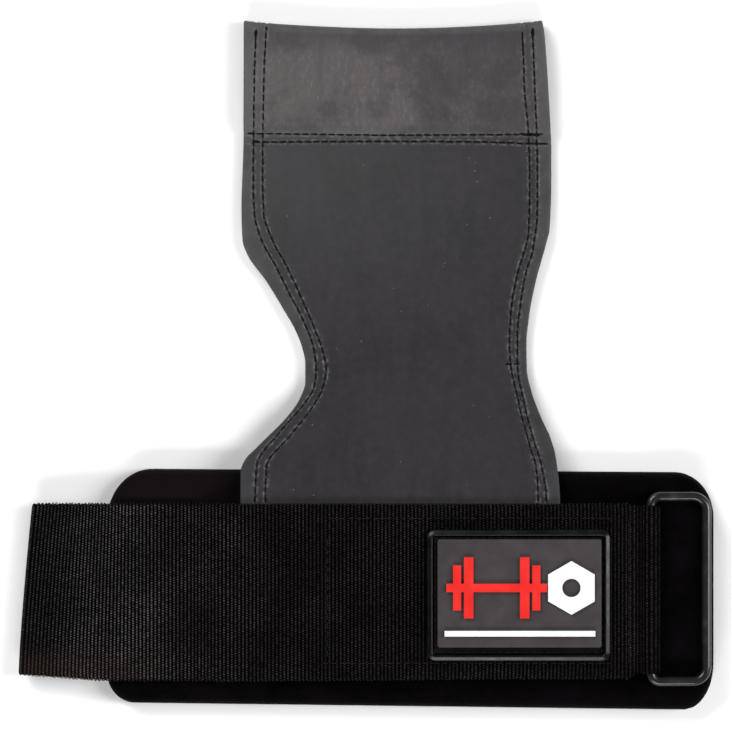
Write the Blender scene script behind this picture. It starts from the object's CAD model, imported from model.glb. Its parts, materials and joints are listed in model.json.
"""Looks for a lifting hand grip: a padded wrist band, a webbing strap with a ring, and a rubber palm flap."""

import json
import math
import random

import bpy
import numpy as np
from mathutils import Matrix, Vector


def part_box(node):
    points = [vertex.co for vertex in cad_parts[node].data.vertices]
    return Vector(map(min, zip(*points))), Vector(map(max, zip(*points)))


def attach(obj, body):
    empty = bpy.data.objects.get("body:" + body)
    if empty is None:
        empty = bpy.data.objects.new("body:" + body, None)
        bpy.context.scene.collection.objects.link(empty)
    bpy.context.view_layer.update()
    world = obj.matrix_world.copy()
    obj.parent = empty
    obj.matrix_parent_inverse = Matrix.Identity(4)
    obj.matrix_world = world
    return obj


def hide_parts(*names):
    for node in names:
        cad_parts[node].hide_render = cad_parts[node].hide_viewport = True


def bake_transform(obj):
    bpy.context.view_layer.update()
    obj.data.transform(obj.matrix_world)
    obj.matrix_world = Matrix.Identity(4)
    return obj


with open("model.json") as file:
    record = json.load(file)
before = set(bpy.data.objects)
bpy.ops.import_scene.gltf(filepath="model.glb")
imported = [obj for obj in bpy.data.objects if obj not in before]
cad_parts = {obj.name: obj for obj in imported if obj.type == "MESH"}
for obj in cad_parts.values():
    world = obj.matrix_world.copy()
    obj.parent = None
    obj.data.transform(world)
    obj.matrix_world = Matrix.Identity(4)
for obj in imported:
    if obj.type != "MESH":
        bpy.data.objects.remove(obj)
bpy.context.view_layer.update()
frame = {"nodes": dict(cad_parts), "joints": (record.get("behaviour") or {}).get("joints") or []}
random.seed(7)

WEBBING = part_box("strap_centre")[1].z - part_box("strap_centre")[0].z
STRAP_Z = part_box("strap_centre")[0].z
PAD_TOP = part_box("band_face_centre")[1].z
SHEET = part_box("flap_middle_back")[1].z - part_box("flap_middle_back")[0].z
FRONT_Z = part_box("flap_middle_front")[0].z
ROOT_BACK_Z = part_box("flap_root_back")[0].z
LAYER_GAP = FRONT_Z - SHEET
HINGE = {joint["name"]: joint["pos_m"] for joint in frame["joints"]}

# Outline of the wrist band.
BAND_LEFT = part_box("band_face_left")[0].x
BAND_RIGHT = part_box("band_face_right")[1].x
BAND_TOP_EDGE = (-0.0301, -0.0312)  # y of the long upper edge, at the left end and at the right end
BAND_LOW_EDGE = (-0.0971, -0.0993)
# Length along x and depth along y of the corners at the top left, low left, top right and low right.
BAND_CORNERS = ((0.0130, 0.0150), (0.0080, 0.0085), (0.0110, 0.0130), (0.0086, 0.0135))
PAD_ROUNDING = 0.0024
PAD_RIM = 0.0020
LINING_RECESS = 0.0008
FLAP_ROOT_X = (-0.0365, 0.0560)  # the flap's root lies on the pad between these
SEWN_END = 0.0815  # the strap holds the pad down as far as the ring

# How the pad swells: a cloth simulation at ten times its size, with a cap on how far a point may move.
CLOTH_SIZE = 10.0
CLOTH_FRAMES = 15
CLOTH_SETTINGS = {
    "quality": 4, "use_pressure": True, "uniform_pressure_force": 4.0, "vertex_group_mass": "sewn",
    "tension_stiffness": 12.0, "compression_stiffness": 12.0, "bending_stiffness": 1.5,
}
SWELL_CAP = 0.0007

# Flap outline and its stitch rows, as (y, x) from root to tip.
LEFT_EDGE = (
    (-0.0900, -0.0360), (-0.0310, -0.0358), (-0.0276, -0.0346), (-0.0239, -0.0311),
    (-0.0146, -0.0220), (-0.0099, -0.0189), (-0.0053, -0.0174), (0.0000, -0.0174),
    (0.0045, -0.0183), (0.0090, -0.0200), (0.0161, -0.0240), (0.0236, -0.0286),
    (0.0310, -0.0339), (0.0353, -0.0354), (0.0447, -0.0357), (0.0644, -0.0351), (0.0990, -0.0350),
)
RIGHT_EDGE = (
    (-0.0900, 0.0556), (-0.0396, 0.0554), (-0.0276, 0.0543), (-0.0219, 0.0529),
    (-0.0153, 0.0500), (-0.0080, 0.0474), (-0.0016, 0.0461), (0.0059, 0.0460),
    (0.0124, 0.0466), (0.0210, 0.0481), (0.0353, 0.0519), (0.0381, 0.0526),
    (0.0513, 0.0531), (0.0619, 0.0531), (0.0710, 0.0526), (0.0941, 0.0511), (0.0990, 0.0504),
)
LEFT_OUTER = (
    (-0.0900, -0.0321), (-0.0401, -0.0317), (-0.0290, -0.0311), (-0.0190, -0.0240), (-0.0113, -0.0174),
    (-0.0067, -0.0149), (-0.0016, -0.0143), (0.0039, -0.0149), (0.0124, -0.0180), (0.0201, -0.0220),
    (0.0281, -0.0260), (0.0356, -0.0300), (0.0430, -0.0320), (0.0513, -0.0323), (0.0776, -0.0320),
    (0.0953, -0.0315), (0.0990, -0.0314),
)
LEFT_INNER = (
    (-0.0900, -0.0290), (-0.0401, -0.0287), (-0.0296, -0.0284), (-0.0204, -0.0214), (-0.0119, -0.0149),
    (-0.0067, -0.0123), (-0.0016, -0.0114), (0.0033, -0.0123), (0.0104, -0.0149), (0.0196, -0.0189),
    (0.0276, -0.0226), (0.0364, -0.0273), (0.0430, -0.0293), (0.0547, -0.0296), (0.0776, -0.0293),
    (0.0976, -0.0284), (0.0990, -0.0283),
)
RIGHT_INNER = (
    (-0.0900, 0.0493), (-0.0387, 0.0491), (-0.0304, 0.0486), (-0.0239, 0.0469), (-0.0164, 0.0449),
    (-0.0073, 0.0429), (-0.0001, 0.0414), (0.0059, 0.0411), (0.0156, 0.0416), (0.0256, 0.0434),
    (0.0381, 0.0466), (0.0513, 0.0469), (0.0644, 0.0466), (0.0776, 0.0454), (0.0956, 0.0447),
    (0.0990, 0.0446),
)
RIGHT_OUTER = (
    (-0.0900, 0.0518), (-0.0387, 0.0514), (-0.0290, 0.0500), (-0.0204, 0.0474), (-0.0119, 0.0454),
    (-0.0001, 0.0434), (0.0079, 0.0434), (0.0176, 0.0443), (0.0276, 0.0462), (0.0319, 0.0477),
    (0.0447, 0.0491), (0.0579, 0.0491), (0.0776, 0.0483), (0.0967, 0.0476), (0.0990, 0.0475),
)
ROWS = (LEFT_OUTER, LEFT_INNER, RIGHT_INNER, RIGHT_OUTER)
ROW_TOPS = (0.0953, 0.0964, 0.0950, 0.0958)  # y at which each row ends
# The double seam across the flap, as (x, y).
SEAMS = (
    ((-0.0340, 0.0659), (0.0074, 0.0654), (0.0506, 0.0656)),
    ((-0.0323, 0.0634), (0.0000, 0.0636), (0.0300, 0.0635), (0.0520, 0.0629)),
)
# Creases below the seam: x where each starts and ends, y and depth.
CREASES = (
    (-0.0220, -0.0030, 0.0603, 0.00009), (-0.0235, -0.0080, 0.0579, 0.00012),
    (0.0050, 0.0180, 0.0598, 0.00006),
)

TIP_FOLD = 0.0646
TIP_RISE = 0.0656  # the front sheet starts to rise over the padding
FLAP_TOP = 0.0984
ROOT_END = -0.0880
DRAPE = (-0.0290, -0.0050)
PADDING_Y = (0.0700, 0.0940)
PADDING_THICKNESS = 0.0020
PADDING_MARGIN = 0.0080
OVER_Z = SHEET + LAYER_GAP + PADDING_THICKNESS + LAYER_GAP  # underside of the front sheet over the padding
TOP_EDGE_DIP = 0.0024
LOWER_CUT = -0.0200  # the flap's three pieces meet at these y, away from its fold lines
UPPER_CUT = 0.0300
# For each piece: its bodies, the y where it bends, its span, its flat width and lengths, the node that it
# stands for, and what it lies on.
FLAP_PARTS = {
    "lower": {
        "bodies": ("wrist_band", "flap_lower"), "bend": (-0.0400, -0.0345), "span": (-1.0, LOWER_CUT),
        "width": 0.0890, "front": 0.0680, "back": 0.0680, "node": "root", "below": "band_face_centre",
    },
    "middle": {
        "bodies": ("flap_lower", "flap_middle"), "bend": (-0.0080, 0.0040), "span": (LOWER_CUT, UPPER_CUT),
        "width": 0.0740, "front": 0.0500, "back": 0.0500, "node": "lower", "below": "surface",
    },
    "upper": {
        "bodies": ("flap_middle", "flap_tip"), "bend": (0.0606, 0.0686), "span": (UPPER_CUT, 1.0),
        "width": 0.0880, "front": 0.1040, "back": 0.0344, "node": "middle", "below": "surface",
    },
}

# The strap, from its turned-under tail to the end folded back under the badge.
STRAP_HIGH_EDGE = -0.0402
STRAP_LOW_EDGE = -0.0896
STRAP_END_LOW_EDGE = -0.0890
STRAP_SAG = (-0.0720, -0.0904)  # (x, y) where the lower edge lies lowest
STRAP_SAG_END = 0.0600
STRAP_END_X = -0.0995
STRAP_FOLD_TOP = -0.0956
STRAP_LEAN_END = -0.0600  # the slant of the folded end has faded out here
LEAN_CURVE = 1.29
TAIL_TIP = -0.0760
STRAP_SLOPE = (-0.0395, -0.0500)  # where the strap comes down from the flap's root onto the band
SLOPE_TOP = -0.0390
DROOP_SLOPE = 0.06
DROOP_EASE = (-0.0760, -0.0700)
RIB_PITCH = 0.00107
RIB_DEPTH = 0.00016
KNOT_PITCH = 0.00070
WIRE_RADIUS = 0.00135
BAR_CORNER = 0.0026
FAR_CORNER = 0.0040
LOOP_CLEARANCE = 0.00015
LOOP_Y = (-0.0884, -0.0404)
LOOP_NARROWS = (0.0745, 0.0780)
LOOP_LEVEL_END = 0.0752  # the strap stays level to here, then dips to its folded-back layer
LOOP_DIP = ((0.0763, 0.0014), (0.0773, 0.0008), (0.0779, 0.0003), (0.0786, 0.0004))  # (x, height above it)
LEFT_LIFT = HINGE["strap_lift"][0]
MIDDLE_CUT = 0.0100
# Where the band and the strap bend: the two bodies, and the x where the bend starts and ends.
STRAP_WIDTH = STRAP_HIGH_EDGE - STRAP_LOW_EDGE
# For each piece of the strap: its flat length, how it is held, what it lies on and the nodes it stands for.
STRAP_PIECES = {
    "strap_tail_fold": (0.0290, "folded", "strap_free", ["strap_tail"]),
    "strap_free": (0.0484, "laid", "pad_left", ["strap_free_end"]),
    "strap_middle": (0.0565, "laid", "pad_left", ["strap_left_strip", "strap_centre"]),
    "strap_ring_end": (0.1030, "folded", "pad_right", ["strap_ring_loop", "strap_return_end"]),
}

# The hook tape under the tail, and one of its hooks as (along, up).
HOOK_TAPE = (-0.0935, -0.0778)
HOOK_MARGIN = 0.0020
HOOK_SHAPE = ((0.0, 0.0001), (0.0, -0.00040), (0.00012, -0.00062), (0.00034, -0.00066), (0.00046, -0.00050))

# The box stitching that holds the strap down.
BOX_LEFT, BOX_RIGHT = -0.0126, 0.0730
BOX_LOW, BOX_TOP = -0.0853, -0.0441

# The badge's frame: a plate with a bead that leans outwards. It has a steep foot, a broad outer flank and a
# rounded drop into the trough, given as (inset in mm, share of the bead's height).
BADGE_PLATE = 0.0014
BEAD = (
    (0.13, 0.10), (0.17, 0.34), (0.28, 0.50), (0.45, 0.60), (0.70, 0.71), (0.95, 0.82), (1.15, 0.91),
    (1.32, 0.97), (1.48, 1.00), (1.64, 0.97), (1.78, 0.86), (1.90, 0.64), (1.99, 0.34), (2.05, 0.0),
)

# The view from straight above, and the lamps: place, width, length and power.
CAMERA_HEIGHT = 1.2
CAMERA_Y = -0.000286
VIEW_WIDTH = 0.20914
LAMPS = (
    ("key", (-0.80, 0.95, 0.95), 0.9, 0.5, 18.5),
    ("fill", (1.20, 0.05, 0.90), 0.5, 0.9, 15.5),
    ("low", (-0.10, -1.25, 0.75), 1.1, 0.4, 15.5),
)


# ---------------------------------------------------------------- numbers


def smooth_step(value, start, end):
    share = np.clip((np.asarray(value, float) - start) / (end - start), 0.0, 1.0)
    return share * share * (3.0 - 2.0 * share)


def smooth_curve(points, where):
    """Values at `where` of a smooth curve through (position, value) points, which doesn't overshoot."""
    at = np.array([p[0] for p in points])
    value = np.array([p[1] for p in points])
    slope = np.diff(value) / np.diff(at)
    tangent = np.zeros(len(at))
    for i in range(1, len(at) - 1):
        if slope[i - 1] * slope[i] > 0.0:
            tangent[i] = 2.0 * slope[i - 1] * slope[i] / (slope[i - 1] + slope[i])
    where = np.asarray(where, float)
    i = np.clip(np.searchsorted(at, where) - 1, 0, len(at) - 2)
    width = at[i + 1] - at[i]
    u = np.clip((where - at[i]) / width, 0.0, 1.0)
    return (
        (1 + 2 * u) * (1 - u) ** 2 * value[i]
        + u * (1 - u) ** 2 * width * tangent[i]
        + u * u * (3 - 2 * u) * value[i + 1]
        + u * u * (u - 1) * width * tangent[i + 1]
    )


def ripple(x, y, size, seed):
    """Smooth waves about `size` metres long, from -1 to 1."""
    source = np.random.default_rng(seed)
    total = 0.0
    for _ in range(7):
        angle = source.uniform(0.0, math.pi)
        wave = source.uniform(0.7, 1.5) * size
        phase = source.uniform(0.0, 2.0 * math.pi)
        total = total + np.sin((x * math.cos(angle) + y * math.sin(angle)) * 2.0 * math.pi / wave + phase)
    return total / 4.0


def evenly(path, step):
    """The same path with points `step` apart, and the distance along it of each."""
    path = np.asarray(path, float)
    length = np.concatenate([[0.0], np.cumsum(np.linalg.norm(np.diff(path, axis=0), axis=1))])
    count = max(2, int(round(length[-1] / step)) + 1)
    along = np.linspace(0.0, length[-1], count)
    return np.stack([np.interp(along, length, column) for column in path.T], axis=1), along


def softened(path, reach):
    """The path with its corners rounded off: each point is the mean of those within `reach` of it."""
    weight = np.hanning(2 * reach + 3)[1:-1]
    weight = weight / weight.sum()
    held = np.concatenate([2 * path[:1] - path[reach:0:-1], path, 2 * path[-1:] - path[-2:-reach - 2:-1]])
    return np.stack([np.convolve(column, weight, "valid") for column in held.T], axis=1)


def side_of(path):
    """Unit vector to the left of the path at each of its points."""
    ahead = np.gradient(path, axis=0)
    ahead = ahead / np.linalg.norm(ahead, axis=1, keepdims=True)
    return np.stack([-ahead[:, 1], ahead[:, 0]], axis=1)


def rounding(distance, radius, least=0.0):
    """The share of its full height that a rounded edge has reached at a distance in from its rim."""
    reach = 1.0 - np.clip(distance / radius, 0.0, 1.0)
    return np.sqrt(np.maximum(1.0 - reach * reach, least))


def circle(centre, radius, start, end, count):
    """Points along an arc round (x, y), with its angles in degrees."""
    angle = np.radians(np.linspace(start, end, count))
    return np.stack([centre[0] + radius * np.cos(angle), centre[1] + radius * np.sin(angle)], 1)


def rounded_loop(x_range, y_range, left, right, count):
    """Points round a rectangle, with the radius of its two corners on the left and of those on the right."""
    (x0, x1), (y0, y1) = x_range, y_range
    corners = ((x1 - right, y1 - right, right), (x0 + left, y1 - left, left),
               (x0 + left, y0 + left, left), (x1 - right, y0 + right, right))
    loop = []
    for turn, (x, y, corner) in enumerate(corners):
        loop.append(circle((x, y), corner, 90.0 * turn, 90.0 * turn + 90.0, count))
    return np.concatenate(loop)


# ---------------------------------------------------------------- meshes


def values_of(items, key, width=3, kind=np.float32):
    """One property of all the points, faces or corners of a mesh, a row for each."""
    values = np.zeros(len(items) * width, kind)
    items.foreach_get(key, values)
    return values.reshape(-1, width)


def store(mesh, name, values):
    """Keeps a vector for each point of a mesh, for materials to read."""
    vectors = np.ascontiguousarray(values, np.float32).reshape(-1)
    mesh.attributes.new(name, "FLOAT_VECTOR", "POINT").data.foreach_set("vector", vectors)


def remember_rest(mesh):
    """Stores each point's place at rest, which patterns follow when the piece is posed."""
    store(mesh, "rest", values_of(mesh.vertices, "co"))


def add_object(name, mesh, look):
    made = bpy.data.objects.new(name, mesh)
    bpy.context.scene.collection.objects.link(made)
    mesh.materials.append(look)
    return made


def discard(made):
    mesh = made.data
    bpy.data.objects.remove(made)
    bpy.data.meshes.remove(mesh)


def mesh_of(name, points, faces, cloth=None, smooth=True):
    """A mesh from points and faces. cloth holds each point's place on the flat cloth, for weaves."""
    mesh = bpy.data.meshes.new(name)
    mesh.from_pydata(np.asarray(points).tolist(), [], faces)
    mesh.update()
    if smooth:
        mesh.shade_smooth()
    remember_rest(mesh)
    if cloth is not None:
        store(mesh, "cloth", cloth)
    return mesh


def ring_faces(count, sides, closed=False, first=0):
    """Quads between rings of points, each ring `sides` long. closed joins the last ring to the first."""
    index = first + np.arange(count * sides).reshape(count, sides)
    ahead = np.roll(index, -1, axis=0)
    if not closed:
        index, ahead = index[:-1], ahead[:-1]
    beside, ahead_beside = np.roll(index, -1, axis=1), np.roll(ahead, -1, axis=1)
    return np.stack([index, beside, ahead_beside, ahead], axis=-1).reshape(-1, 4)


def outward(points, faces):
    """The faces turned so that the closed solid that they make isn't inside out."""
    volume = 0.0
    for face in faces:
        corner = points[face[0]]
        for a, b in zip(face[1:-1], face[2:]):
            volume += float(np.dot(corner, np.cross(points[a], points[b])))
    return faces if volume > 0.0 else [tuple(reversed(face)) for face in faces]


def swept(name, sections, look, cloth=None, closed=False, smooth=True):
    """A closed body through rings of points, capped at both ends unless its last ring meets its first."""
    count, sides = sections.shape[:2]
    faces = [tuple(face) for face in ring_faces(count, sides, closed).tolist()]
    if not closed:
        faces.append(tuple(range(sides - 1, -1, -1)))
        faces.append(tuple(range((count - 1) * sides, count * sides)))
    points = sections.reshape(-1, 3)
    faces = outward(points, faces)
    return add_object(name, mesh_of(name, points, faces, cloth, smooth), look)


def shell(over, under):
    """Rings for swept: the row of points over each place, then the row under it the other way round."""
    return np.concatenate([over, under[:, ::-1]], axis=1)


def rods(name, paths, radius, look, sides=6):
    """Many short round rods in one mesh, each along its own path of points, with closed ends."""
    points, faces = [], []
    turn = np.linspace(0.0, 2.0 * math.pi, sides, endpoint=False)
    for path in paths:
        path = np.asarray(path, float)
        ahead = np.gradient(path, axis=0)
        ahead /= np.linalg.norm(ahead, axis=1, keepdims=True)
        guide = np.array([0.0, 0.0, 1.0]) if abs(ahead[0][2]) < 0.9 else np.array([1.0, 0.0, 0.0])
        first = len(points)
        count = len(path)
        for i, (place, way) in enumerate(zip(path, ahead)):
            side = np.cross(way, guide)
            side /= np.linalg.norm(side)
            up = np.cross(side, way)
            thin = 0.55 if i in (0, count - 1) else 1.0
            for angle in turn:
                spoke = side * math.cos(angle) + up * math.sin(angle)
                points.append(place + radius * thin * spoke)
        faces += ring_faces(count, sides, first=first)[:, ::-1].tolist()
        faces.append(list(range(first, first + sides)))
        faces.append(list(range(first + (count - 1) * sides, first + count * sides))[::-1])
    return add_object(name, mesh_of(name, np.array(points), faces), look)


def open_ends(faces):
    """One face for each loop of edges that only one face uses, so that a cut piece is closed again."""
    ways = {(a, b) for face in faces for a, b in zip(face, face[1:] + face[:1])}
    after = {b: a for a, b in ways if (b, a) not in ways}
    ends = []
    while after:
        first, here = after.popitem()
        loop = [first]
        while here != first:
            loop.append(here)
            here = after.pop(here)
        ends.append(loop)
    return ends


def part_of(whole, name, keep):
    """A piece made of the faces that keep(centres, cloth) picks, shaded and patterned as in the whole."""
    mesh = whole.data
    sizes = values_of(mesh.polygons, "loop_total", 1, np.int32)[:, 0]
    corners = values_of(mesh.loops, "vertex_index", 1, np.int32)[:, 0]
    starts = np.concatenate([[0], np.cumsum(sizes)[:-1]])
    patterns = {key: values_of(mesh.attributes[key].data, "vector")
                for key in ("cloth", "border") if key in mesh.attributes}
    cloth = patterns["cloth"][corners[starts]] if "cloth" in patterns else None
    chosen = keep(values_of(mesh.polygons, "center"), cloth)
    faces = [corners[s:s + n] for s, n, wanted in zip(starts, sizes, chosen) if wanted]
    used = np.unique(np.concatenate(faces))
    order = np.full(len(mesh.vertices), -1)
    order[used] = np.arange(len(used))
    faces = [order[face].tolist() for face in faces]
    faces += open_ends(faces)
    made = mesh_of(name, values_of(mesh.vertices, "co")[used], faces)
    for key, values in patterns.items():
        store(made, key, values[used])
    normals = values_of(mesh.vertex_normals, "vector")
    made.normals_split_custom_set_from_vertices(normals[used].tolist())
    return add_object(name, made, mesh.materials[0])


# ---------------------------------------------------------------- materials


class Look:
    """A node material with one Principled shader."""

    def __init__(self, name, colour=(0.5, 0.5, 0.5), **plain):
        self.material = bpy.data.materials.new(name)
        self.material.use_nodes = True
        self.tree = self.material.node_tree
        self.shader = self.tree.nodes["Principled BSDF"]
        self.shader.inputs["Base Color"].default_value = (*colour, 1.0)
        for key, value in plain.items():
            self.shader.inputs[key.replace("_", " ")].default_value = value

    def node(self, kind, inputs=None, **settings):
        made = self.tree.nodes.new(kind)
        for key, value in settings.items():
            setattr(made, key, value)
        for key, value in (inputs or {}).items():
            if isinstance(value, bpy.types.NodeSocket):
                self.tree.links.new(value, made.inputs[key])
            else:
                made.inputs[key].default_value = value
        return made

    def place(self, name="rest"):
        return self.node("ShaderNodeAttribute", attribute_name=name).outputs["Vector"]

    def scaled(self, vector, scale):
        return self.node("ShaderNodeVectorMath", {0: vector, 1: scale}, operation="MULTIPLY").outputs[0]

    def parts(self, vector):
        return self.node("ShaderNodeSeparateXYZ", {0: vector}).outputs

    def noise(self, vector, scale, detail=2.0, roughness=0.5):
        inputs = {
            "Vector": vector, "Scale": scale, "Detail": detail, "Roughness": roughness, "Distortion": 0.0,
        }
        return self.node("ShaderNodeTexNoise", inputs).outputs["Fac"]

    def streaks(self, vector, scale, detail=2.0, roughness=0.5):
        """Noise that is drawn out: scale is how often it changes along each axis."""
        return self.noise(self.scaled(vector, scale), 1.0, detail, roughness)

    def cells(self, vector, scale):
        """Distance from the nearest of many scattered points."""
        inputs = {"Vector": vector, "Scale": scale}
        return self.node("ShaderNodeTexVoronoi", inputs, feature="F1").outputs["Distance"]

    def maths(self, operation, a, b=0.0):
        return self.node("ShaderNodeMath", {0: a, 1: b}, operation=operation).outputs[0]

    def times(self, first, *others):
        for other in others:
            first = self.maths("MULTIPLY", first, other)
        return first

    def wave(self, turns):
        """Humps from 0 to 1, one for each whole turn."""
        return self.maths("ABSOLUTE", self.maths("SINE", self.times(turns, math.pi)))

    def span(self, value, low, high, to_low=0.0, to_high=1.0):
        """to_low where value is at or below low, to_high at or above high."""
        inputs = {"Value": value, "From Min": low, "From Max": high, "To Min": to_low, "To Max": to_high}
        return self.node("ShaderNodeMapRange", inputs, interpolation_type="SMOOTHSTEP").outputs["Result"]

    def mix(self, share, a, b):
        made = self.node("ShaderNodeMix", data_type="RGBA", blend_type="MIX")
        for key, value in ((0, share), (6, a), (7, b)):
            if isinstance(value, bpy.types.NodeSocket):
                self.tree.links.new(value, made.inputs[key])
            elif key == 0:
                made.inputs[key].default_value = value
            else:
                made.inputs[key].default_value = (*value, 1.0)
        return made.outputs[2]

    def bump(self, height, strength, distance, before=None):
        inputs = {"Height": height, "Strength": strength, "Distance": distance}
        if before is not None:
            inputs["Normal"] = before
        return self.node("ShaderNodeBump", inputs).outputs["Normal"]

    def finish(self, colour, normal=None, roughness=None):
        """Links what it is given to the shader, and returns the material."""
        for key, socket in (("Base Color", colour), ("Normal", normal), ("Roughness", roughness)):
            if socket is not None:
                self.tree.links.new(socket, self.shader.inputs[key])
        return self.material


def lighter(colour, factor):
    return tuple(c * factor for c in colour)


def dusty_tip(look, rest, colour, dusty):
    """Over the filler the rubber is rubbed and dusty, most of all left of the middle."""
    x, y, _ = look.parts(rest)
    tip = look.span(y, 0.0640, 0.0665)
    scuffed = look.times(
        look.span(x, 0.034, -0.002, 0.42, 1.0),
        look.span(x, -0.043, -0.034, 0.55, 1.0),
        look.span(look.noise(rest, 75.0, 4.0, 0.65), 0.36, 0.64, 0.35, 1.0),
        look.span(y, 0.0950, 0.0850, 0.30, 1.0),
    )
    colour = look.mix(look.times(tip, look.span(scuffed, 0.1, 0.9, 0.22, 1.0)), colour, dusty)
    powder = look.span(look.streaks(rest, (950.0, 420.0, 1.0), 5.0, 0.75), 0.46, 0.74)
    colour = look.mix(look.times(powder, tip, scuffed, 0.50), colour, (0.215, 0.180, 0.165))
    # Fingers have wiped it in strokes along the flap, which leave cooler, darker streaks.
    wiped = look.span(look.streaks(rest, (330.0, 38.0, 1.0), 3.0, 0.6), 0.44, 0.72, 0.0, 0.55)
    return look.mix(look.times(wiped, tip), colour, (0.048, 0.044, 0.052))


def worn_edges(look, rest, colour, pale):
    """Paler along the cut edges, along the rims beside the stitch rows and over the edge of the tip."""
    y = look.parts(rest)[1]
    border, rims, crown = look.parts(look.place("border"))
    patchy = look.span(look.noise(rest, 120.0, 3.0, 0.6), 0.3, 0.7, 0.45, 1.0)
    fading = look.span(y, -0.035, 0.055, 0.35, 1.0)
    colour = look.mix(look.times(border, patchy, fading, 0.90), colour, pale)
    rubbed = look.span(look.noise(rest, 700.0, 3.0, 0.6), 0.42, 0.68)
    colour = look.mix(look.times(rims, rubbed, 0.75), colour, (0.14, 0.135, 0.138))
    uneven = look.span(look.noise(rest, 260.0, 3.0, 0.6), 0.3, 0.7, 0.35, 1.0)
    return look.mix(look.times(crown, uneven, 0.7), colour, pale)


def dust_specks(look, rest, colour):
    near = look.span(look.cells(rest, 400.0), 0.03, 0.10, 1.0, 0.0)
    some = look.span(look.noise(rest, 190.0, 1.0), 0.56, 0.68)
    return look.mix(look.times(near, some, 0.42), colour, (0.30, 0.29, 0.285))


def rubber_look(name, dark, pale, dusty):
    """Matt rubber sheet with a fine grain, soft mottling and dust."""
    look = Look(name, Roughness=0.62, Specular_IOR_Level=0.28)
    rest = look.place()
    x, y, _ = look.parts(rest)
    broad = look.noise(rest, 42.0, 3.0, 0.55)
    fine = look.noise(rest, 420.0, 3.0, 0.6)
    grain = look.noise(rest, 2300.0, 2.0, 0.6)
    colour = look.mix(look.span(broad, 0.32, 0.68), dark, lighter(dark, 1.45))
    brushed = look.streaks(rest, (160.0, 34.0, 1.0), 3.0, 0.6)
    colour = look.mix(look.span(brushed, 0.35, 0.72, 0.0, 0.8), colour, lighter(dark, 1.62))
    colour = dusty_tip(look, rest, colour, dusty)
    colour = worn_edges(look, rest, colour, pale)
    colour = look.mix(look.span(fine, 0.35, 0.75, 0.0, 0.07), colour, pale)
    faded = look.times(look.span(y, -0.01, 0.064, 0.0, 0.30), look.span(x, 0.05, -0.035, 0.3, 1.0))
    colour = dust_specks(look, rest, look.mix(faded, colour, pale))
    normal = look.bump(fine, 0.08, 0.0001, look.bump(grain, 0.20, 0.0001))
    return look.finish(colour, normal, look.span(fine, 0.2, 0.8, 0.62, 0.68))


def webbing_look():
    """Ribbed webbing: rows of small bright knots across the strap, which step half a knot from rib to rib."""
    look = Look("webbing", Roughness=0.60, Specular_IOR_Level=0.02)
    cloth = look.place("cloth")
    along, across, _ = look.parts(cloth)
    rest = look.place()
    x, y, _ = look.parts(rest)
    rib = look.maths("DIVIDE", along, RIB_PITCH)
    crest = look.wave(rib)
    step = look.times(look.maths("MODULO", look.maths("FLOOR", rib), 2.0), 0.5)
    wobble = look.times(look.noise(rest, 300.0, 1.0), 0.9)
    turn = look.maths("ADD", look.maths("DIVIDE", across, KNOT_PITCH), look.maths("ADD", step, wobble))
    knot = look.wave(turn)
    raised = look.times(look.span(crest, 0.35, 1.0), look.span(knot, 0.1, 0.9, 0.25, 1.0))
    worn = look.noise(rest, 60.0, 3.0, 0.6)
    # The bend beside the end of the band is the most rubbed, the folded end least.
    bright = look.times(
        look.maths("POWER", raised, 3.2),
        look.span(look.streaks(cloth, (1200.0, 900.0, 1.0)), 0.3, 0.7, 0.25, 1.0),
        look.times(
            look.span(x, -0.005, -0.060, 0.36, 0.80),
            look.times(look.span(x, -0.092, -0.076, 0.72, 1.75), look.span(x, -0.066, -0.052, 1.0, 0.58)),
        ),
        look.span(worn, 0.3, 0.7, 0.45, 1.0),
    )
    yarn = look.mix(look.span(x, -0.070, -0.046), (0.1120, 0.1020, 0.1060), (0.1170, 0.0960, 0.1040))
    colour = look.mix(bright, (0.0003, 0.0001, 0.0002), yarn)
    soiled = look.times(look.span(x, -0.048, -0.085), look.span(y, -0.0780, -0.0890),
                        look.span(crest, 0.1, 0.9, 0.02, 0.22))
    colour = look.mix(soiled, colour, (0.060, 0.036, 0.022))
    fibre = look.streaks(cloth, (9000.0, 2200.0, 1.0))
    colour = look.mix(look.span(fibre, 0.5, 0.8, 0.0, 0.02), colour, (0.08, 0.074, 0.075))
    normal = look.bump(fibre, 0.3, 0.00008, look.bump(raised, 0.9, 0.00022))
    return look.finish(colour, normal, look.span(worn, 0.2, 0.8, 0.5, 0.75))


def velour_look():
    """Deep black pile, brushed a little lighter beside the flap's root."""
    look = Look("velour", Roughness=0.95, Specular_IOR_Level=0.02, Sheen_Weight=0.02, Sheen_Roughness=0.40)
    rest = look.place()
    pile = look.noise(rest, 2600.0, 2.0, 0.7)
    patch = look.noise(rest, 90.0, 3.0, 0.6)
    x, y, _ = look.parts(rest)
    colour = look.mix(look.span(patch, 0.3, 0.7), (0.0008, 0.0005, 0.0008), (0.0022, 0.0016, 0.0021))
    brushed = look.times(look.span(x, -0.005, -0.050), look.span(y, -0.0440, -0.0380), 0.8)
    colour = look.mix(brushed, colour, (0.0075, 0.0052, 0.0060))
    colour = look.mix(look.span(pile, 0.5, 0.8, 0.0, 0.4), colour, (0.0060, 0.0046, 0.0055))
    return look.finish(colour, look.bump(patch, 0.35, 0.0012, look.bump(pile, 0.8, 0.00035)))


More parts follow.
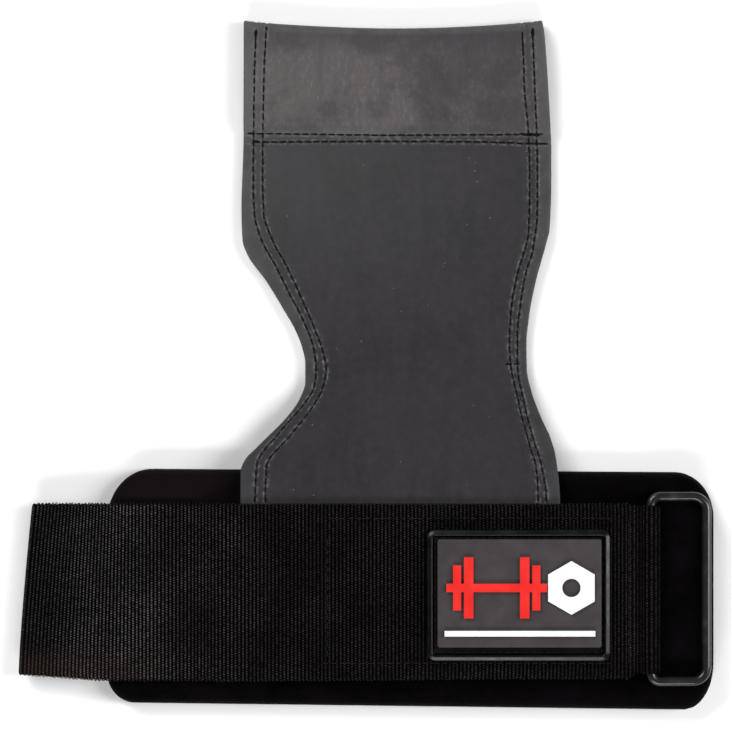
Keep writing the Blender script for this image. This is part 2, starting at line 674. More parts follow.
def lining_look():
    look = Look("lining", Roughness=0.85, Specular_IOR_Level=0.2, Sheen_Weight=0.08, Sheen_Roughness=0.4)
    rest = look.place()
    loops = look.cells(rest, 1500.0)
    patch = look.noise(rest, 70.0, 3.0, 0.6)
    colour = look.mix(look.span(loops, 0.1, 0.6), (0.0130, 0.0125, 0.0130), (0.0045, 0.0042, 0.0045))
    colour = look.mix(look.span(patch, 0.3, 0.7, 0.0, 0.4), colour, (0.0170, 0.0160, 0.0165))
    return look.finish(colour, look.bump(loops, 0.6, 0.0003))


def foam_look():
    look = Look("foam", Roughness=0.9, Specular_IOR_Level=0.2)
    cells = look.cells(look.place(), 1100.0)
    colour = look.mix(look.span(cells, 0.1, 0.5), (0.020, 0.020, 0.021), (0.055, 0.054, 0.056))
    return look.finish(colour, look.bump(cells, 0.8, 0.0004))


def yarn_look(name, colour, pale, scale=2600.0, specular=0.10, shades=(0.35, 0.7), bump=0.0001):
    """Fine twisted or woven yarn."""
    look = Look(name, Roughness=0.6, Specular_IOR_Level=specular)
    twist = look.noise(look.place(), scale, 2.0)
    return look.finish(look.mix(look.span(twist, *shades), colour, pale), look.bump(twist, 0.5, bump))


def gloss_metal_look():
    look = Look("black_metal", (0.012, 0.012, 0.013), Roughness=0.30, Specular_IOR_Level=0.38,
                Coat_Weight=0.15, Coat_Roughness=0.10)
    rest = look.place()
    wear = look.noise(rest, 130.0, 3.0, 0.6)
    colour = look.mix(look.span(wear, 0.55, 0.8), (0.009, 0.009, 0.010), (0.034, 0.033, 0.035))
    normal = look.bump(look.noise(rest, 520.0, 2.0), 0.10, 0.0002)
    return look.finish(colour, normal, look.span(wear, 0.3, 0.7, 0.24, 0.36))


def badge_look(name, colour, pale, roughness, specular=0.16):
    """Moulded soft rubber with a fine satin grain."""
    look = Look(name, Roughness=roughness, Specular_IOR_Level=specular)
    rest = look.place()
    patch = look.noise(rest, 160.0, 3.0, 0.55)
    normal = look.bump(look.noise(rest, 1900.0, 2.0, 0.6), 0.18, 0.0001)
    satin = look.span(patch, 0.2, 0.8, roughness - 0.06, roughness + 0.12)
    return look.finish(look.mix(look.span(patch, 0.3, 0.75), colour, pale), normal, satin)


RUBBER_FRONT = rubber_look("rubber_front", dark=(0.0118, 0.0102, 0.0122), pale=(0.0830, 0.0820, 0.0830),
                           dusty=(0.0800, 0.0700, 0.0710))
RUBBER_BACK = rubber_look("rubber_back", dark=(0.0300, 0.0285, 0.0300), pale=(0.0700, 0.0670, 0.0690),
                          dusty=(0.0560, 0.0530, 0.0540))
WEBBING_LOOK = webbing_look()
VELOUR = velour_look()
LINING = lining_look()
FOAM = foam_look()
THREAD = yarn_look("thread", (0.0012, 0.0010, 0.0011), (0.0060, 0.0052, 0.0056))
STRAP_THREAD = yarn_look("strap_thread", (0.0012, 0.0010, 0.0011), (0.0120, 0.0105, 0.0110))
SELVEDGE = yarn_look("selvedge", (0.0015, 0.0012, 0.0013), (0.0200, 0.0175, 0.0185))
HOOKS = yarn_look(
    "hook_tape", (0.003, 0.003, 0.0032), (0.010, 0.010, 0.0105), 1700.0, 0.14, (0.3, 0.7), 0.0002
)
BLACK_METAL = gloss_metal_look()
BADGE_BLACK = badge_look("badge_black", (0.0010, 0.0005, 0.0007), (0.0026, 0.0016, 0.0019), 0.31, 0.27)
BADGE_GREY = badge_look("badge_grey", (0.0400, 0.0340, 0.0355), (0.0520, 0.0450, 0.0470), 0.55)
BADGE_RED = badge_look("badge_red", (0.6800, 0.0180, 0.0150), (0.7600, 0.0300, 0.0240), 0.50)
BADGE_WHITE = badge_look("badge_white", (0.7600, 0.7550, 0.7500), (0.8400, 0.8350, 0.8300), 0.50)


# ---------------------------------------------------------------- wrist band


def band_edges(x):
    """The low and high y of the band's outline at x."""
    share = (x - BAND_LEFT) / (BAND_RIGHT - BAND_LEFT)
    high = BAND_TOP_EDGE[0] + (BAND_TOP_EDGE[1] - BAND_TOP_EDGE[0]) * share
    low = BAND_LOW_EDGE[0] + (BAND_LOW_EDGE[1] - BAND_LOW_EDGE[0]) * share

    def cut(distance, corner):
        length, depth = corner
        return depth * (1.0 - rounding(distance, length))

    top_left, low_left, top_right, low_right = BAND_CORNERS
    high = high - np.maximum(cut(x - BAND_LEFT, top_left), cut(BAND_RIGHT - x, top_right))
    low = low + np.maximum(cut(x - BAND_LEFT, low_left), cut(BAND_RIGHT - x, low_right))
    return low, high


def in_from_outline(x, y):
    """Distance in from the band's outline."""
    at = np.concatenate([
        BAND_LEFT + 0.016 * np.linspace(0.0, 1.0, 70) ** 2,
        np.linspace(BAND_LEFT + 0.017, BAND_RIGHT - 0.015, 60),
        BAND_RIGHT - 0.014 * np.linspace(1.0, 0.0, 80) ** 2,
    ])
    low, high = band_edges(at)
    outline = np.concatenate([np.stack([at, high], 1), np.stack([at, low], 1)[::-1]])
    ahead = np.roll(outline, -1, axis=0)
    place = np.stack([x, y], -1).reshape(-1, 1, 2)
    along = ahead - outline
    share = ((place - outline) * along).sum(-1) / np.maximum((along * along).sum(-1), 1e-18)
    foot = outline + np.clip(share, 0.0, 1.0)[..., None] * along
    return np.linalg.norm(place - foot, axis=-1).min(axis=1).reshape(np.shape(x))


def pad_swell(pad):
    """Cloth simulation of the sewn pad, made ten times its size: air inside pushes the fabric out between the
    strap's stitching and the bound edge. Returns how far each point moved, in metres."""
    work = pad.copy()
    work.data = pad.data.copy()
    bpy.context.scene.collection.objects.link(work)
    start = values_of(work.data.vertices, "co")
    work.data.vertices.foreach_set("co", (start * CLOTH_SIZE).reshape(-1))
    x, y, z = start.T
    sewn = (y > STRAP_LOW_EDGE - 0.0005) & (y < STRAP_HIGH_EDGE + 0.0010) & (x < SEWN_END)
    under_flap = (x > FLAP_ROOT_X[0]) & (x < FLAP_ROOT_X[1]) & (y > STRAP_LOW_EDGE)
    rim = np.abs(z - PAD_RIM) < 0.0006
    pins = work.vertex_groups.new(name="sewn")
    pins.add(np.flatnonzero(sewn | under_flap | rim | (z < 0.0003)).tolist(), 1.0, "REPLACE")
    cloth = work.modifiers.new("cloth", "CLOTH")
    for key, value in CLOTH_SETTINGS.items():
        setattr(cloth.settings, key, value)
    cloth.settings.effector_weights.gravity = 0.0
    cloth.collision_settings.use_collision = False
    scene = bpy.context.scene
    for frame_number in range(1, CLOTH_FRAMES + 1):
        scene.frame_set(frame_number)
    shown = work.evaluated_get(bpy.context.evaluated_depsgraph_get()).to_mesh()
    end = values_of(shown.vertices, "co")
    scene.frame_set(1)
    discard(work)
    return end / CLOTH_SIZE - start


def pad_body():
    """The sewn pad as one closed body, with a rounded edge and a recess for the lining below."""
    near = np.array([0.0, 0.0001, 0.0003, 0.0006, 0.0010, 0.0015, 0.0021, 0.0029, 0.0038, 0.0048, 0.0059])
    between = np.arange(BAND_LEFT + 0.0071, BAND_RIGHT - 0.0070, 0.0013)
    stations = np.concatenate([BAND_LEFT + near, between, BAND_RIGHT - near[::-1]])
    low, high = band_edges(stations)
    even = np.linspace(0.0, 1.0, 52)
    across = 0.35 * even + 0.65 * (0.5 - 0.5 * np.cos(math.pi * even))
    x = np.repeat(stations[:, None], len(across), axis=1)
    y = low[:, None] + (high - low)[:, None] * across
    inset = in_from_outline(x, y)
    top = PAD_RIM + (PAD_TOP - PAD_RIM) * rounding(inset, PAD_ROUNDING)
    # Slow waves, only where neither the strap nor the flap lies on the pad.
    clear = (y > STRAP_HIGH_EDGE + 0.0015) | (y < STRAP_LOW_EDGE - 0.001) | (x > SEWN_END + 0.0010)
    clear &= ~((x > FLAP_ROOT_X[0] - 0.0005) & (x < FLAP_ROOT_X[1] + 0.0005) & (y > STRAP_LOW_EDGE))
    top = top + 0.00014 * ripple(x, y, 0.012, 3) * np.clip(inset / 0.004, 0.0, 1.0) * clear
    under = PAD_RIM - PAD_RIM * rounding(inset, 0.0012)
    under = under + LINING_RECESS * smooth_step(inset, 0.0015, 0.0018)
    below = np.stack([x, y, under], -1)[:, 1:-1]
    return swept("pad_whole", shell(np.stack([x, y, top], -1), below), VELOUR)


def swell_pad(pad):
    """Lets the pad swell where neither the strap nor the flap holds it down, by SWELL_CAP at most."""
    start = values_of(pad.data.vertices, "co")
    moved = pad_swell(pad)
    far = np.linalg.norm(moved, axis=1, keepdims=True)
    moved = moved * np.minimum(1.0, SWELL_CAP / np.maximum(far, 1e-9))
    moved[:, 2] = np.maximum(moved[:, 2], 0.0)
    x, y, _ = start.T
    free = np.maximum(smooth_step(y, STRAP_HIGH_EDGE, STRAP_HIGH_EDGE + 0.003),
                      smooth_step(y, STRAP_LOW_EDGE + 0.0006, STRAP_LOW_EDGE - 0.0015))
    first, last = FLAP_ROOT_X
    flap = smooth_step(x, first - 0.0020, first) * smooth_step(x, last + 0.0020, last)
    free = free * (1.0 - flap * smooth_step(y, STRAP_LOW_EDGE - 0.001, STRAP_LOW_EDGE))
    free = np.maximum(free, smooth_step(x, 0.0850, 0.0880) * 0.4)
    pad.data.vertices.foreach_set("co", (start + moved * free[:, None]).reshape(-1))
    pad.data.update()


def lining_body():
    """The lining: a thin sheet let into the pad's underside."""
    inset, thickness = 0.0018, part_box("band_lining_centre")[1].z
    stations = np.arange(BAND_LEFT + inset, BAND_RIGHT - inset, 0.0015)
    low, high = band_edges(stations)
    share = np.linspace(0.0, 1.0, 50)
    x = np.repeat(stations[:, None], len(share), axis=1)
    y = low[:, None] + inset + (high - low - 2 * inset)[:, None] * share
    wave = 0.00005 * (1.0 + ripple(x, y, 0.015, 21))
    upper = np.stack([x, y, np.full_like(x, thickness)], -1)
    return swept("lining_whole", shell(upper, np.stack([x, y, wave], -1)), LINING)


def bend(piece):
    """Lets a piece of the band or the strap bend with two bodies, over the stretch that BENDS gives."""
    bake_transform(piece)


def finish_band():
    """The pad and its lining, each cut in two so that each end can bend."""
    whole_pad = pad_body()
    swell_pad(whole_pad)
    whole_lining = lining_body()
    for side, length in (("left", 0.0800), ("right", 0.0860)):

        def keep(centres, cloth):
            return (centres[:, 0] < MIDDLE_CUT) == (side == "left")

        pad = part_of(whole_pad, "pad_" + side, keep)
        lining = part_of(whole_lining, "pad_lining_" + side, keep)
        for piece, slot in ((pad, "velour"), (lining, "lining")):
            bend(piece)
        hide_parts("band_face_" + side, "band_foam_" + side)
        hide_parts("band_lining_" + side)
        if side == "left":
            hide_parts("band_face_centre", "band_foam_centre")
            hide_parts("band_lining_centre")
    discard(whole_pad)
    discard(whole_lining)


# ---------------------------------------------------------------- strap


def strap_low_edge(x):
    lowest_x, lowest = STRAP_SAG
    far = STRAP_END_LOW_EDGE + (lowest - STRAP_END_LOW_EDGE) * smooth_step(x, STRAP_END_X, lowest_x)
    near = lowest + (STRAP_LOW_EDGE - lowest) * smooth_step(x, lowest_x, STRAP_SAG_END)
    return np.where(x < lowest_x, far, near)


def strap_edges(x):
    """The low and high y of the webbing at x, a little narrower where it loops round the ring."""
    share = smooth_step(x, *LOOP_NARROWS)
    low, high = strap_low_edge(x), STRAP_HIGH_EDGE
    return low + (LOOP_Y[0] - low) * share, high + (LOOP_Y[1] - high) * share


def free_strap_height(x):
    """Underside of the strap at x, from its folded end to the flap's root."""
    on_band = PAD_TOP + LAYER_GAP
    slope = (STRAP_Z - on_band) * smooth_step(x, STRAP_SLOPE[1], STRAP_SLOPE[0])
    end, begin = DROOP_EASE
    eased = DROOP_SLOPE * np.maximum(begin - x, 0.0) ** 2 / (2.0 * (begin - end))
    steady = DROOP_SLOPE * ((begin + end) / 2.0 - x)
    return on_band + slope - np.where(x > end, eased, steady)


def fold_lean(x, y):
    """The strap's free end is folded on a slant, and the slant fades out along the strap."""
    share = (y - STRAP_END_LOW_EDGE) / (STRAP_HIGH_EDGE - STRAP_END_LOW_EDGE)
    fading = 1.0 - smooth_step(x, STRAP_END_X, STRAP_LEAN_END)
    return (STRAP_FOLD_TOP - STRAP_END_X) * np.maximum(share, 0.0) ** LEAN_CURVE * fading


def level_run(first, last, step, height):
    place = np.arange(first, last, step)
    return np.stack([place, np.full(len(place), height)], 1)


def strap_path():
    """Middle line of the webbing as (x, z), from the tip of its tail to its folded-back end."""
    half = WEBBING / 2
    layer = WEBBING + LAYER_GAP
    middle = STRAP_Z + half
    turn = layer / 2
    fold_x = STRAP_END_X + half + turn
    tail_x = np.arange(TAIL_TIP, fold_x, -0.0002)
    upper_x = np.arange(fold_x, SLOPE_TOP, 0.0002)
    fold_z = float(free_strap_height(np.array(fold_x))) + half - turn
    bar_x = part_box("wire_ring")[0].x + WIRE_RADIUS
    back = PAD_TOP + LAYER_GAP + half
    bar_z = back + half + LOOP_CLEARANCE + WIRE_RADIUS
    dip = [(LOOP_LEVEL_END, middle)] + [(x, back + layer + above) for x, above in LOOP_DIP]
    path = np.concatenate([
        np.stack([tail_x, free_strap_height(tail_x) + half - layer], 1),
        circle((fold_x, fold_z), turn, -90.0, -270.0, 24),
        np.stack([upper_x, free_strap_height(upper_x) + half], 1),
        level_run(SLOPE_TOP + 0.0002, LOOP_LEVEL_END - 0.0001, 0.0002, middle),
        np.array(dip),
        circle((bar_x, bar_z), WIRE_RADIUS + LOOP_CLEARANCE + half, 150.0, -90.0, 44),
        level_run(bar_x - 0.0004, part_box("strap_return_end")[0].x, -0.0002, back),
    ])
    path, along = evenly(path, 0.00005)
    return softened(path, 7), along


def rib_height(along):
    wave = np.abs(np.sin(along * math.pi / RIB_PITCH))
    return RIB_DEPTH * (1.0 - wave ** 0.6)


def strap_body(path, along):
    """The whole webbing as one closed band of ribs with rounded, slightly frayed edges."""
    side = side_of(path)
    path, along, side = path[::3], along[::3], side[::3]
    edge = np.array([0.0, 0.0001, 0.00025, 0.00045, 0.0008])
    inner = np.linspace(0.0015, STRAP_WIDTH - 0.0015, 20)
    columns = np.concatenate([edge, inner, STRAP_WIDTH - edge[::-1]]) / STRAP_WIDTH
    low, high = strap_edges(path[:, 0])
    fray = 0.00013 * np.sin(along * 2.0 * math.pi / RIB_PITCH)
    fray = fray + 0.00007 * ripple(along, along * 0.0, 0.004, 5)
    low, high = low - fray, high + fray
    y = low[:, None] + (high - low)[:, None] * columns
    from_edge = np.minimum(columns, 1.0 - columns) * STRAP_WIDTH
    thick = (WEBBING / 2 - rib_height(along)[:, None]) * rounding(from_edge, 0.0007, 0.02)
    x = path[:, :1] + fold_lean(path[:, :1], y)
    z = np.repeat(path[:, 1:], len(columns), axis=1)
    # side points down on the tail, which runs to the left, and so up on the upper layer.
    over = np.stack([x + thick * side[:, :1], y, z + thick * side[:, 1:]], -1)
    under = np.stack([x - thick * side[:, :1], y, z - thick * side[:, 1:]], -1)
    place = np.stack([np.repeat(along[:, None], len(columns), axis=1), y, np.zeros_like(y)], -1)
    return swept("strap_whole", shell(over, under), WEBBING_LOOK, shell(place, place).reshape(-1, 3))


def strap_cuts(path, along):
    """The distances along the webbing where its upper layer passes the places at which its pieces part."""
    path, along = path[::3], along[::3]
    left, right = int(np.argmin(path[:, 0])), int(np.argmax(path[:, 0]))
    upper = path[left:right, 0]
    places = (STRAP_END_X + 0.0040, LEFT_LIFT, MIDDLE_CUT)
    return [along[left:right][int(np.argmin(np.abs(upper - place)))] for place in places]


def finish_strap():
    """The webbing, cut into four pieces so that each fold line bends one of them."""
    path, along = strap_path()
    whole = strap_body(path, along)
    cuts = [-1.0] + strap_cuts(path, along) + [9.0]
    pieces = {}
    for first, last, name in zip(cuts[:-1], cuts[1:], STRAP_PIECES):

        def keep(centres, cloth):
            return (cloth[:, 0] >= first - 1e-7) & (cloth[:, 0] < last - 1e-7)

        pieces[name] = part_of(whole, name, keep)
    discard(whole)
    normal = np.array([-DROOP_SLOPE, 0.005, 1.0])
    normal /= np.linalg.norm(normal)
    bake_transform(pieces["strap_tail_fold"])
    bend(pieces["strap_free"])
    bend(pieces["strap_middle"])
    bend(pieces["strap_ring_end"])
    for name, (length, held, below, nodes) in STRAP_PIECES.items():
        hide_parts(*nodes)


# ---------------------------------------------------------------- ring


def build_ring():
    """The wire ring, which hangs in the strap's loop and leans down onto the pad."""
    low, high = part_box("wire_ring")
    bar_x, far_x = low.x + WIRE_RADIUS, high.x - WIRE_RADIUS
    bar_z = PAD_TOP + LAYER_GAP + WEBBING + LOOP_CLEARANCE + WIRE_RADIUS
    rest = PAD_TOP + LAYER_GAP + WIRE_RADIUS
    lean = math.atan2(bar_z - rest, far_x - bar_x)
    length = (far_x - bar_x) / math.cos(lean)
    wide = (low.y + WIRE_RADIUS, high.y - WIRE_RADIUS)
    loop = rounded_loop((0.0, length), wide, BAR_CORNER, FAR_CORNER, 13)
    path = evenly(np.concatenate([loop, loop[:1]]), 0.0005)[0][:-1]
    ahead = np.roll(path, -1, axis=0) - np.roll(path, 1, axis=0)
    ahead /= np.linalg.norm(ahead, axis=1, keepdims=True)
    turn = np.linspace(0.0, 2.0 * math.pi, 28, endpoint=False)
    u = path[:, :1] + WIRE_RADIUS * np.cos(turn) * ahead[:, 1:]
    y = path[:, 1:] - WIRE_RADIUS * np.cos(turn) * ahead[:, :1]
    h = np.repeat((WIRE_RADIUS * np.sin(turn))[None], len(path), axis=0)
    x = bar_x + u * math.cos(lean) + h * math.sin(lean)
    z = bar_z - u * math.sin(lean) + h * math.cos(lean)
    ring = swept("ring", np.stack([x, y, z], -1), BLACK_METAL, closed=True)
    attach(ring, "ring")
    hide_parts("wire_ring")


# ---------------------------------------------------------------- palm flap


def drape(y):
    """Height of the flap's underside: it lies on the band, then slopes gently down to the surface."""
    return ROOT_BACK_Z * (1.0 - smooth_step(y, *DRAPE))


def front_height(y):
    """Height of the front sheet's underside, up over the padding."""
    return drape(y) + FRONT_Z + (OVER_Z - FRONT_Z) * smooth_step(y, TIP_RISE, PADDING_Y[0])


def top_dip(x, y):
    """The flap's tip edge is slightly hollow between its corners."""
    left, right = smooth_curve(LEFT_EDGE, y), smooth_curve(RIGHT_EDGE, y)
    share = np.clip((x - left) / (right - left), 0.0, 1.0)
    return TOP_EDGE_DIP * np.sin(math.pi * share) ** 0.7 * smooth_step(y, PADDING_Y[1] - 0.004, FLAP_TOP)


def hump(distance, width):
    return np.exp(-((distance / width) ** 2))


def channel(distance, y, pitch=0.0026):
    """Height of the groove that a row of stitches pulls into the rubber, and of the rims beside it."""
    pull = 0.8 + 0.2 * np.cos(y * 2.0 * math.pi / pitch)
    groove = 0.00024 * hump(distance, 0.00030) * pull
    return 0.00006 * hump(np.abs(distance) - 0.00075, 0.00030) - groove


def flap_relief(x, y):
    """Height of the rubber's face above its plain level: stitch grooves, creases and slow waves."""
    height = 0.00012 * ripple(x, y, 0.034, 11)
    for row in ROWS:
        height = height + channel(x - smooth_curve(row, y), y)
    for seam in SEAMS:
        first, last = seam[0][0], seam[-1][0]
        ends = smooth_step(x, first - 0.0004, first) * smooth_step(x, last + 0.0004, last)
        height = height + channel(y - smooth_curve(seam, x), x) * ends
    for x0, x1, crease_y, depth in CREASES:
        ends = smooth_step(x, x0 - 0.004, x0 + 0.002) * smooth_step(x, x1 + 0.004, x1 - 0.002)
        height = height - depth * ends * hump(y - crease_y, 0.00035)
    return height


def flap_columns(y):
    """Places across the flap at each y: close together at the edges and at the stitch rows."""
    near = np.array([-0.0009, -0.0006, -0.0004, -0.0002, 0.0, 0.0002, 0.0004, 0.0006, 0.0009])
    rim = np.array([0.0, 0.00008, 0.00022, 0.00045])
    lines = [smooth_curve(line, y)[:, None] for line in (LEFT_EDGE, *ROWS, RIGHT_EDGE)]
    groups = [lines[0] + rim] + [line + near for line in lines[1:5]] + [lines[5] - rim[::-1]]
    across = [groups[0]]
    for group, between in zip(groups[1:], (3, 3, 56, 3, 3)):
        first, last = across[-1][:, -1:], group[:, :1]
        share = np.linspace(0.0, 1.0, between + 1)[1:-1]
        across += [first + (last - first) * share, group]
    return np.concatenate(across, axis=1)


def front_path():
    """Middle line of the front sheet as (y, z): up the palm, over the padding, round the tip and back."""
    over, under = OVER_Z + SHEET / 2, SHEET / 2
    turn = (over - under) / 2
    turn_y = FLAP_TOP - turn - SHEET / 2
    y = np.concatenate([np.arange(ROOT_END, -0.0420, 0.0015), np.arange(-0.0412, 0.0616, 0.0007),
                        np.arange(0.0617, 0.0672, 0.00018), np.arange(0.0675, turn_y, 0.0006)])
    return np.concatenate([
        np.stack([y, front_height(y) + SHEET / 2], 1),
        circle((turn_y, under + turn), turn, 90.0, -90.0, 22),
        level_run(turn_y - 0.0008, TIP_FOLD + 0.0002, -0.0010, under),
    ])


def back_path():
    """Middle line of the back sheet as (y, z)."""
    y = np.concatenate([np.arange(ROOT_END, -0.0420, 0.0020), np.arange(-0.0412, TIP_FOLD - 0.0002, 0.0010)])
    return np.stack([y, drape(y) + SHEET / 2], 1)


def wear_pattern(x, y, from_edge):
    """How much each place is worn: along the cut edges, beside the stitch rows and at the tip's edge."""
    outer = np.minimum(x - smooth_curve(LEFT_OUTER, y), smooth_curve(RIGHT_OUTER, y) - x)
    border = smooth_step(-outer, -0.0001, 0.0006) * 0.6 + smooth_step(-from_edge, -0.0008, -0.0001) * 0.4
    away = [x - smooth_curve(row, y) for row in ROWS] + [y - smooth_curve(seam, x) for seam in SEAMS]
    rims = np.max([hump(np.abs(distance) - 0.00055, 0.00028) for distance in away], axis=0)
    crown = smooth_step(y, FLAP_TOP - 0.0030, FLAP_TOP - 0.0018)
    return np.stack([border, rims, crown], -1)


def flap_body(name, path, look):
    """A rubber sheet along a path of (y, z), with rounded cut edges and stitch grooves on both faces."""
    side = side_of(path)
    x = flap_columns(path[:, 0])
    y = np.repeat(path[:, :1], x.shape[1], axis=1)
    from_edge = np.minimum(x - x[:, :1], x[:, -1:] - x)
    plain = SHEET / 2 * rounding(from_edge, 0.00040, 0.04)
    relief = flap_relief(x, y)
    fade = np.minimum(1.0, from_edge / 0.0008)
    dip = top_dip(x, y)

    def at(offset):
        return np.stack([x, y - dip + offset * side[:, :1], path[:, 1:] + offset * side[:, 1:]], -1)

    over, under = plain + relief * fade, plain + np.minimum(relief, 0.0) * fade
    made = swept(name, shell(at(over), at(-under)), look)
    pattern = wear_pattern(x, y, from_edge)
    store(made.data, "border", shell(pattern, pattern).reshape(-1, 3))
    return made


def in_part(y, part):
    return (y >= part["span"][0]) & (y < part["span"][1])


def bend_flap(piece):
    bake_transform(piece)


def build_flap_sheets():
    """Front and back rubber, each cut in three so that each fold line bends one piece."""
    wholes = {"front": flap_body("front_whole", front_path(), RUBBER_FRONT),
              "back": flap_body("back_whole", back_path(), RUBBER_BACK)}
    for name, part in FLAP_PARTS.items():
        for face, whole in wholes.items():
            folded = face == "front" and name == "upper"
            piece = part_of(whole, "flap_" + name + "_sheet_" + face, lambda c, cloth: in_part(c[:, 1], part))
            bend_flap(piece)
            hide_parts("flap_" + part["node"] + "_" + face)
            if folded:
                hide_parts("flap_tip_cover")
    for whole in wholes.values():
        discard(whole)


def stitch_path(points, length, gap, rise, height):
    """Stitches along a line of (x, y): each is a short arch that dips into the cloth at both ends."""
    line, along = evenly(points, 0.0001)
    made, at = [], 0.0
    while at + length * 0.5 < along[-1]:
        end = min(at + length * random.uniform(0.92, 1.06), along[-1])
        share = np.linspace(0.0, 1.0, 6)
        spots = at + (end - at) * share
        x = np.interp(spots, along, line[:, 0]) + random.uniform(-0.00006, 0.00006)
        y = np.interp(spots, along, line[:, 1]) + random.uniform(-0.00006, 0.00006)
        x = x + random.uniform(-0.00009, 0.00009) * (share - 0.5)
        y = y + random.uniform(-0.00016, 0.00016) * (share - 0.5)
        lift = rise * (np.sin(math.pi * share) ** 0.5 - 0.55)
        made.append(np.stack([x, y, height(x, y) + lift], 1))
        at = end + gap * random.uniform(0.7, 1.3)
    return made


def row_points(row, y0, y1):
    y = np.linspace(y0, y1, 400)
    return np.stack([smooth_curve(row, y), y], 1)


def flap_rows():
    """The lines of (x, y) that the flap's stitches follow: rows and seams, then their back-tacked ends."""
    lines = [row_points(row, -0.0420, end) for row, end in zip(ROWS, ROW_TOPS)]
    for seam in SEAMS:
        x = np.linspace(seam[0][0], seam[-1][0], 300)
        lines.append(np.stack([x, smooth_curve(seam, x)], 1))
    # A second short run over the end of the first.
    for row, start, end in ((LEFT_OUTER, 0.0905, 0.0953), (RIGHT_INNER, 0.0895, 0.0950),
                            (RIGHT_OUTER, 0.0900, 0.0958)):
        lines.append(row_points(row, start, end))
    for x0, x1, y in ((0.0438, 0.0508, 0.0658), (0.0452, 0.0503, 0.0654), (0.0468, 0.0522, 0.0630),
                      (-0.0342, -0.0318, 0.0660), (-0.0326, -0.0300, 0.0636), (0.0398, 0.0440, -0.0001)):
        lines.append(np.array([(x0, y), (x1, y)]))
    # The heaviest ends, where the thread has piled up beside the row.
    piled = [row_points(LEFT_OUTER, 0.0936, 0.0952), row_points(RIGHT_OUTER, 0.0934, 0.0958)]
    piled.append(np.array([(0.0455, 0.0656), (0.0504, 0.0656)]))
    for line in piled:
        lines += [line - 0.00026, line + 0.00026]
    return lines


def build_flap_threads():
    """Stitch rows of the flap, on its face and on its back."""
    length, gap, rise, radius = 0.0022, 0.00035, 0.00022, 0.00019
    lines = flap_rows()
    paths = {"front": [], "back": []}
    for line in lines:
        paths["front"] += stitch_path(
            line, length, gap, rise, lambda x, y: front_height(y) + SHEET + flap_relief(x, y) + 0.00008
        )
    for line in lines[:len(ROWS) + len(SEAMS)]:
        paths["back"] += stitch_path(line, length, gap, -rise, lambda x, y: drape(y) + 0.00010)
    for name, part in FLAP_PARTS.items():
        for face, stitches in paths.items():
            kept = [stitch for stitch in stitches if in_part(stitch[:, 1].mean(), part)]
            threads = rods("flap_threads_" + face + "_" + name, kept, radius, THREAD)
            bend_flap(threads)


def build_padding():
    """The soft filler inside the tip, seen only at its open sides."""
    rows = np.linspace(PADDING_Y[0] + 0.0005, PADDING_Y[1] - 0.0004, 40)
    left = smooth_curve(LEFT_EDGE, rows) + PADDING_MARGIN
    right = smooth_curve(RIGHT_EDGE, rows) - PADDING_MARGIN
    x = left[:, None] + (right - left)[:, None] * np.linspace(0.0, 1.0, 60)
    y = np.repeat(rows[:, None], x.shape[1], axis=1)
    from_side = np.minimum(x - x[:, :1], x[:, -1:] - x)
    from_edge = np.minimum(from_side, np.minimum(y - rows[0], rows[-1] - y))
    half = PADDING_THICKNESS / 2 * rounding(from_edge, 0.001, 0.05)
    middle = SHEET + LAYER_GAP + PADDING_THICKNESS / 2
    y = y - top_dip(x, y)
    sections = shell(np.stack([x, y, middle + half], -1), np.stack([x, y, middle - half], -1))
    padding = swept("tip_padding", sections, FOAM)
    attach(padding, "flap_tip")
    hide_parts("flap_tip_filler")


# ---------------------------------------------------------------- badge


def nested(name, node, corner, profile, look):
    """A flat moulding in a node's box: rounded rectangles at (inset, height), from its foot inwards."""
    low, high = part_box(node)
    rings = []
    for inset, z in profile:
        radius = max(corner - inset, 0.0002)
        x_range, y_range = (low.x + inset, high.x - inset), (low.y + inset, high.y - inset)
        loop = rounded_loop(x_range, y_range, radius, radius, 8)
        rings.append([(x, y, z) for x, y in loop])
    piece = swept(name, np.array(rings), look)
    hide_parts(node)
    return piece


def build_badge():
    low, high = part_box("badge_base")
    plate = low.z + BADGE_PLATE
    profile = [(0.0, low.z), (0.0, low.z + 0.0009), (0.00006, low.z + 0.0012), (0.00010, plate - 0.0001)]
    profile += [(inset / 1000.0, plate + (high.z - plate) * share) for inset, share in BEAD]
    profile += [(0.00220, plate - 0.00012), (0.00257, plate - 0.00015)]
    profile += [(inset, plate - 0.00005) for inset in (0.0045, 0.0120, 0.0170)]
    base = nested("badge_frame", "badge_base", 0.0026, profile, BADGE_BLACK)
    panel_low, panel_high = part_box("badge_panel")
    top = panel_high.z
    profile = [(0.0, panel_low.z), (0.0, top - 0.00035), (0.00008, top - 0.00012)]
    profile += [(inset, top) for inset in (0.00025, 0.0006, 0.0007, 0.0050, 0.0130)]
    panel = nested("badge_raised_panel", "badge_panel", 0.0007, profile, BADGE_GREY)
    # Stitches run round the trough, close to the frame.
    inset = 0.0025
    x_range, y_range = (low.x + inset, high.x - inset), (low.y + inset, high.y - inset)
    loop = rounded_loop(x_range, y_range, 0.0008, 0.0008, 8)
    loop = np.concatenate([loop, loop[:1]])
    paths = stitch_path(loop, 0.0019, 0.0004, 0.00030, lambda x, y: np.full(np.shape(x), plate + 0.00012))
    threads = rods("badge_threads", paths, 0.00024, STRAP_THREAD)
    for piece, slot in ((base, "badge_black"), (panel, "badge_grey"), (threads, "badge_black")):
        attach(piece, "wrist_band")
    finish_emblem()


